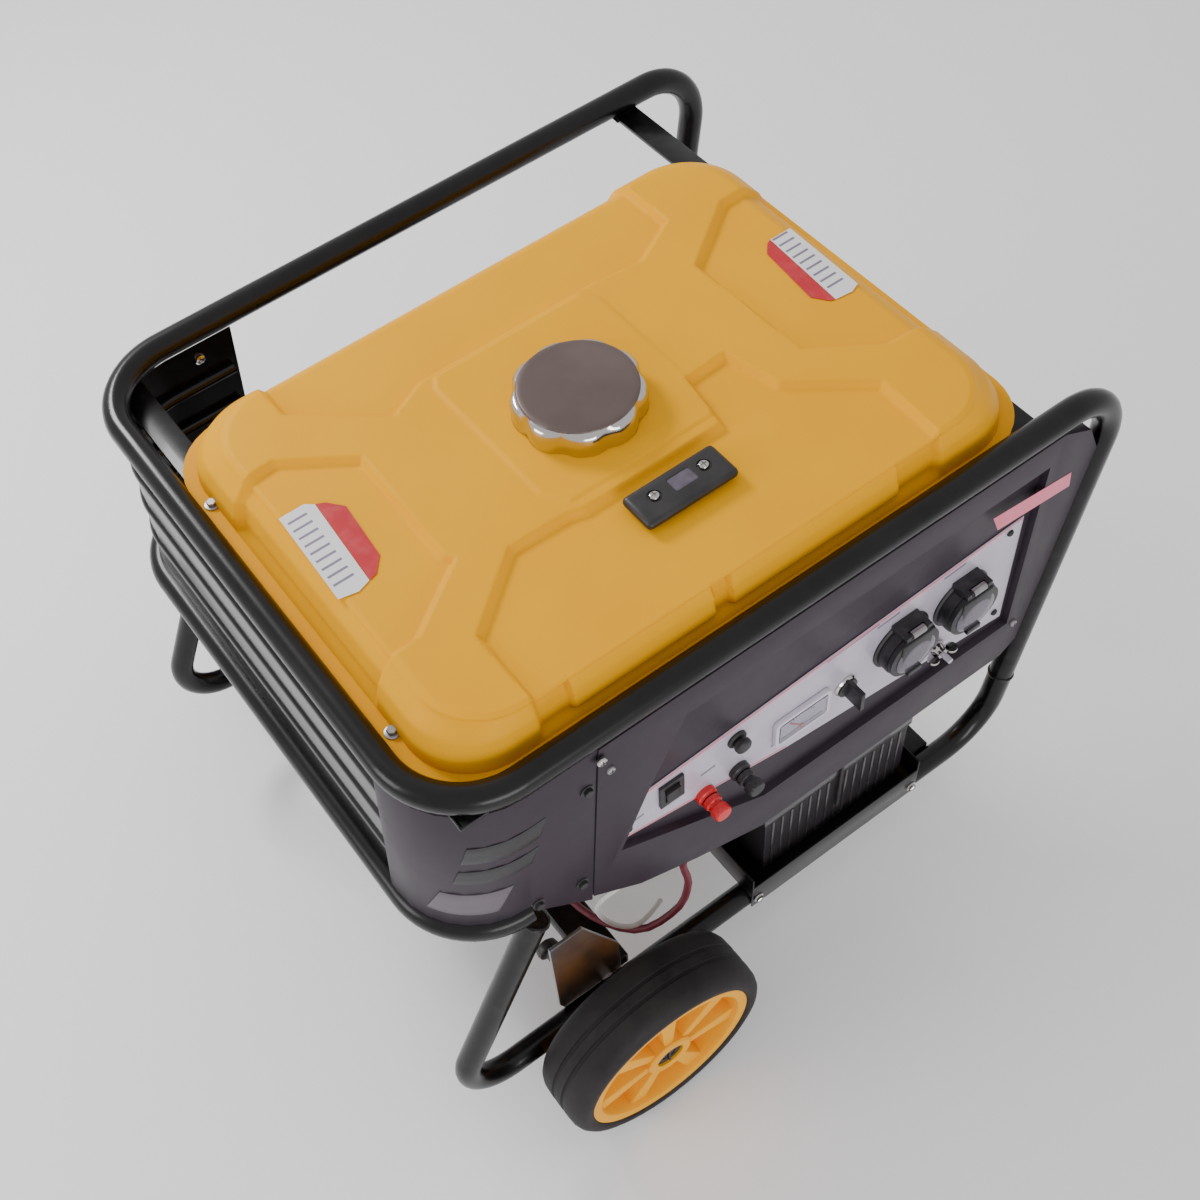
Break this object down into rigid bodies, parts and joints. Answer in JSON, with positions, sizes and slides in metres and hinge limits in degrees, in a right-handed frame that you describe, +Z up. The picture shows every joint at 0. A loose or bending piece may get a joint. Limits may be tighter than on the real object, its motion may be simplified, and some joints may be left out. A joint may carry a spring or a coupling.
{
  "type": "portable generator",
  "caption": "Wheeled tube frame carrying a yellow fuel tank over an inclined single-cylinder engine and alternator, with a front control panel and a starting battery.",
  "frame": {"origin": "on the ground, in the middle of the outline seen from above", "axes": "+Z up, -Y out of the control panel, -X towards the recoil starter and the wheels"},
  "size_m": [0.7618, 0.768, 0.682],
  "materials": {
    "frame_paint": "gloss black paint",
    "cover_sheet": "dark grey moulding",
    "black_sheet": "gloss black sheet",
    "steel": "zinc plated and machined steel",
    "tyre": "solid rubber",
    "wheel_plastic": "yellow moulded wheel",
    "rubber": "black rubber",
    "tank_paint": "gloss yellow paint",
    "chrome": "chrome",
    "black_plastic": "black plastic",
    "red_plastic": "red plastic",
    "panel_label": "silver lilac face sheet",
    "meter_case": "pale meter case",
    "battery_case": "smoked translucent case",
    "cast_alloy": "cast alloy",
    "muffler_steel": "bare steel"
  },
  "bodies": {
    "frame": {"air_cleaner": "black_plastic", "alternator_housing": "cast_alloy", "axle_plate_front": "steel", "axle_plate_rear": "steel", "battery": "battery_case", "battery_tray": "frame_paint", "blower_housing": "black_sheet", "carburettor": "cast_alloy", "corner_guard": "cover_sheet", "crankcase": "cast_alloy", "cylinder": "cast_alloy", "foot_pad_front": "rubber", "foot_pad_rear": "rubber", "front_skid_tube": "frame_paint", "fuel_cock": "black_plastic", "fuel_gauge": "black_plastic", "left_cross_rail": "frame_paint", "lower_frame_tube": "frame_paint", "muffler": "muffler_steel", "panel_bezel": "cover_sheet", "panel_face": "panel_label", "rear_skid_tube": "frame_paint", "right_cross_rail": "frame_paint", "rocker_cover": "black_plastic", "rocker_switch_case": "black_plastic", "rubber_mount_front_left": "rubber", "rubber_mount_front_right": "rubber", "rubber_mount_rear_left": "rubber", "rubber_mount_rear_right": "rubber", "side_panel": "black_sheet", "socket_left": "black_plastic", "socket_right": "black_plastic", "starter_cable": "red_plastic", "support_leg": "frame_paint", "tank_bar_left": "frame_paint", "tank_bar_right": "frame_paint", "tank_lower_shell": "tank_paint", "tank_upper_shell": "tank_paint", "top_frame_tube": "frame_paint", "voltmeter": "meter_case", "wheel_axle": "steel"},
    "wheel_front": {"tyre_front": "tyre", "wheel_hub_front": "wheel_plastic"},
    "wheel_rear": {"tyre_rear": "tyre", "wheel_hub_rear": "wheel_plastic"},
    "fuel_cap_body": {"fuel_cap": "chrome"},
    "fuel_cock_lever_body": {"fuel_cock_lever": "red_plastic"},
    "rocker_switch_key_body": {"rocker_switch_key": "black_plastic"},
    "terminal_nut_red_body": {"terminal_nut_red": "red_plastic"},
    "terminal_nut_black_body": {"terminal_nut_black": "black_plastic"},
    "breaker_button_body": {"breaker_button": "black_plastic"},
    "voltmeter_needle_body": {"voltmeter_needle": "red_plastic"},
    "start_key_body": {"start_key": "black_plastic"},
    "socket_cover_left_body": {"socket_cover_left": "black_plastic"},
    "socket_cover_right_body": {"socket_cover_right": "black_plastic"},
    "ground_wing_nut_body": {"ground_wing_nut": "chrome"},
    "crankshaft_rotor_body": {"crankshaft_rotor": "steel"},
    "recoil_grip_body": {"recoil_grip": "black_plastic"},
    "choke_lever_body": {"choke_lever": "black_plastic"},
    "oil_filler_cap_body": {"oil_filler_cap": "black_plastic"}
  },
  "joints": [
    {"name": "front_wheel_turn", "type": "hinge", "parent": "frame", "child": "wheel_front", "pos_m": [-0.19578, -0.349, 0.115], "axis": [0, 1, 0], "continuous": true},
    {"name": "rear_wheel_turn", "type": "hinge", "parent": "frame", "child": "wheel_rear", "pos_m": [-0.19578, 0.349, 0.115], "axis": [0, 1, 0], "continuous": true},
    {"name": "fuel_cap_turn", "type": "hinge", "parent": "frame", "child": "fuel_cap_body", "pos_m": [-0.02378, -0.053, 0.66], "axis": [0, 0, 1], "range_deg": [0, 90]},
    {"name": "fuel_cock_turn", "type": "hinge", "parent": "frame", "child": "fuel_cock_lever_body", "pos_m": [-0.04578, -0.2173, 0.486], "axis": [0, 1, 0], "range_deg": [0, 90]},
    {"name": "rocker_switch_tilt", "type": "hinge", "parent": "frame", "child": "rocker_switch_key_body", "pos_m": [-0.11878, -0.2906, 0.442], "axis": [1, 0, 0], "range_deg": [-12, 0]},
    {"name": "terminal_red_turn", "type": "hinge", "parent": "frame", "child": "terminal_nut_red_body", "pos_m": [-0.08178, -0.3083, 0.394], "axis": [0, 1, 0], "range_deg": [0, 360]},
    {"name": "terminal_black_turn", "type": "hinge", "parent": "frame", "child": "terminal_nut_black_body", "pos_m": [-0.04378, -0.3083, 0.396], "axis": [0, 1, 0], "range_deg": [0, 360]},
    {"name": "breaker_button_press", "type": "slide", "parent": "frame", "child": "breaker_button_body", "axis": [0, 1, 0], "range_m": [0, 0.004], "stiffness_N_per_m": 400},
    {"name": "voltmeter_needle_swing", "type": "hinge", "parent": "frame", "child": "voltmeter_needle_body", "pos_m": [0.02722, -0.2936, 0.403], "axis": [0, 1, 0], "range_deg": [0, 80], "stiffness_Nm_per_rad": 0.0002},
    {"name": "start_key_turn", "type": "hinge", "parent": "frame", "child": "start_key_body", "pos_m": [0.08022, -0.3006, 0.413], "axis": [0, 1, 0], "range_deg": [0, 60]},
    {"name": "socket_cover_left_lift", "type": "hinge", "parent": "frame", "child": "socket_cover_left_body", "pos_m": [0.14522, -0.3081, 0.459], "axis": [-1, 0, 0], "range_deg": [0, 100], "stiffness_Nm_per_rad": 0.02},
    {"name": "socket_cover_right_lift", "type": "hinge", "parent": "frame", "child": "socket_cover_right_body", "pos_m": [0.21822, -0.3081, 0.459], "axis": [-1, 0, 0], "range_deg": [0, 100], "stiffness_Nm_per_rad": 0.02},
    {"name": "ground_wing_nut_turn", "type": "hinge", "parent": "frame", "child": "ground_wing_nut_body", "pos_m": [0.19422, -0.2983, 0.371], "axis": [0, 1, 0], "range_deg": [0, 360]},
    {"name": "crankshaft_turn", "type": "hinge", "parent": "frame", "child": "crankshaft_rotor_body", "pos_m": [0.01422, 0, 0.268], "axis": [1, 0, 0], "continuous": true},
    {"name": "recoil_pull", "type": "slide", "parent": "frame", "child": "recoil_grip_body", "axis": [-1, 0, 0], "range_m": [0, 0.25], "stiffness_N_per_m": 60},
    {"name": "choke_turn", "type": "hinge", "parent": "frame", "child": "choke_lever_body", "pos_m": [-0.13778, -0.046, 0.424], "axis": [1, 0, 0], "range_deg": [0, 60]},
    {"name": "oil_filler_turn", "type": "hinge", "parent": "frame", "child": "oil_filler_cap_body", "pos_m": [-0.15578, -0.1, 0.2], "axis": [0, 1, 0], "range_deg": [0, 360]}
  ]
}
